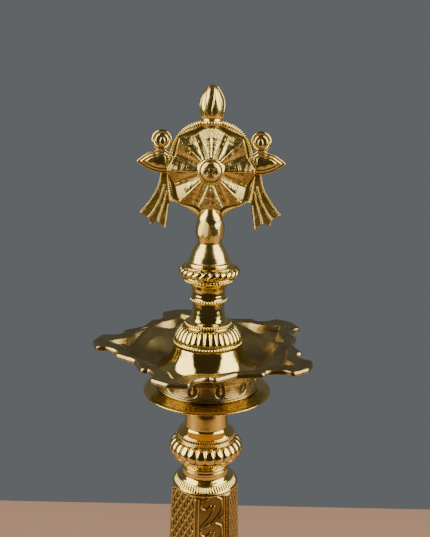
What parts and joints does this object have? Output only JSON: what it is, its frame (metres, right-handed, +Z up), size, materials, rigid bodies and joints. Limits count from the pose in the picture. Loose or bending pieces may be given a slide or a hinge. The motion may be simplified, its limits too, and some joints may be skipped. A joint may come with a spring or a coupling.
{
  "type": "standing oil lamp",
  "caption": "Tall polished brass standing oil lamp with a star-shaped five-spout bowl, a ribbed bell, a six-sided engraved column and a wheel finial.",
  "frame": {"origin": "centre of the ring under the base, where the lamp stands on the table", "axes": "+Z up along the lamp axis; +X to the viewer's right and -Y towards the viewer, across the face of the wheel finial"},
  "size_m": [0.2015, 0.2045, 0.685],
  "materials": {
    "polished_brass": "polished",
    "bowl_brass": "polished, duller inside",
    "stud_brass": "turned",
    "washer_rubber": "matte"
  },
  "bodies": {
    "base": {"base_foot": "polished_brass", "base_dome": "polished_brass", "base_collar": "polished_brass"},
    "column_lift": {"column_stud": "stud_brass"},
    "column": {"hex_column": "polished_brass", "column_cap": "polished_brass"},
    "knob_lift": {"knob_stud": "stud_brass"},
    "knob": {"upper_knob": "polished_brass", "drip_flange": "polished_brass", "bowl_stud": "stud_brass"},
    "bowl": {"lamp_bowl": "bowl_brass"},
    "bell_lift": {"oil_washer": "washer_rubber"},
    "bell": {"bell_dome": "polished_brass", "spindle_stud": "stud_brass", "spindle": "polished_brass"},
    "finial_lift": {"finial_stud": "stud_brass"},
    "finial": {"chakra_finial": "polished_brass"}
  },
  "joints": [
    {"name": "column_rise", "type": "slide", "parent": "base", "child": "column_lift", "axis": [0, 0, 1], "range_m": [0, 0.0046]},
    {"name": "column_unscrew", "type": "hinge", "parent": "column_lift", "child": "column", "pos_m": [0, 0, 0.112], "axis": [0, 0, 1], "range_deg": [0, 1080]},
    {"name": "knob_rise", "type": "slide", "parent": "column", "child": "knob_lift", "axis": [0, 0, 1], "range_m": [0, 0.0046]},
    {"name": "knob_unscrew", "type": "hinge", "parent": "knob_lift", "child": "knob", "pos_m": [0, 0, 0.3265], "axis": [0, 0, 1], "range_deg": [0, 1080]},
    {"name": "bowl_swivel", "type": "hinge", "parent": "knob", "child": "bowl", "pos_m": [0, 0, 0.411], "axis": [0, 0, 1], "continuous": true},
    {"name": "bell_rise", "type": "slide", "parent": "knob", "child": "bell_lift", "axis": [0, 0, 1], "range_m": [0, 0.0046]},
    {"name": "bell_unscrew", "type": "hinge", "parent": "bell_lift", "child": "bell", "pos_m": [0, 0, 0.432], "axis": [0, 0, 1], "range_deg": [0, 1080]},
    {"name": "finial_rise", "type": "slide", "parent": "bell", "child": "finial_lift", "axis": [0, 0, 1], "range_m": [0, 0.0046]},
    {"name": "finial_unscrew", "type": "hinge", "parent": "finial_lift", "child": "finial", "pos_m": [0, 0, 0.527], "axis": [0, 0, 1], "range_deg": [0, 1080]}
  ],
  "couplings": [
    {"joint": "column_rise", "follows": "column_unscrew", "m_per_rad": 0.00023873},
    {"joint": "knob_rise", "follows": "knob_unscrew", "m_per_rad": 0.00023873},
    {"joint": "bell_rise", "follows": "bell_unscrew", "m_per_rad": 0.00023873},
    {"joint": "finial_rise", "follows": "finial_unscrew", "m_per_rad": 0.00023873}
  ]
}
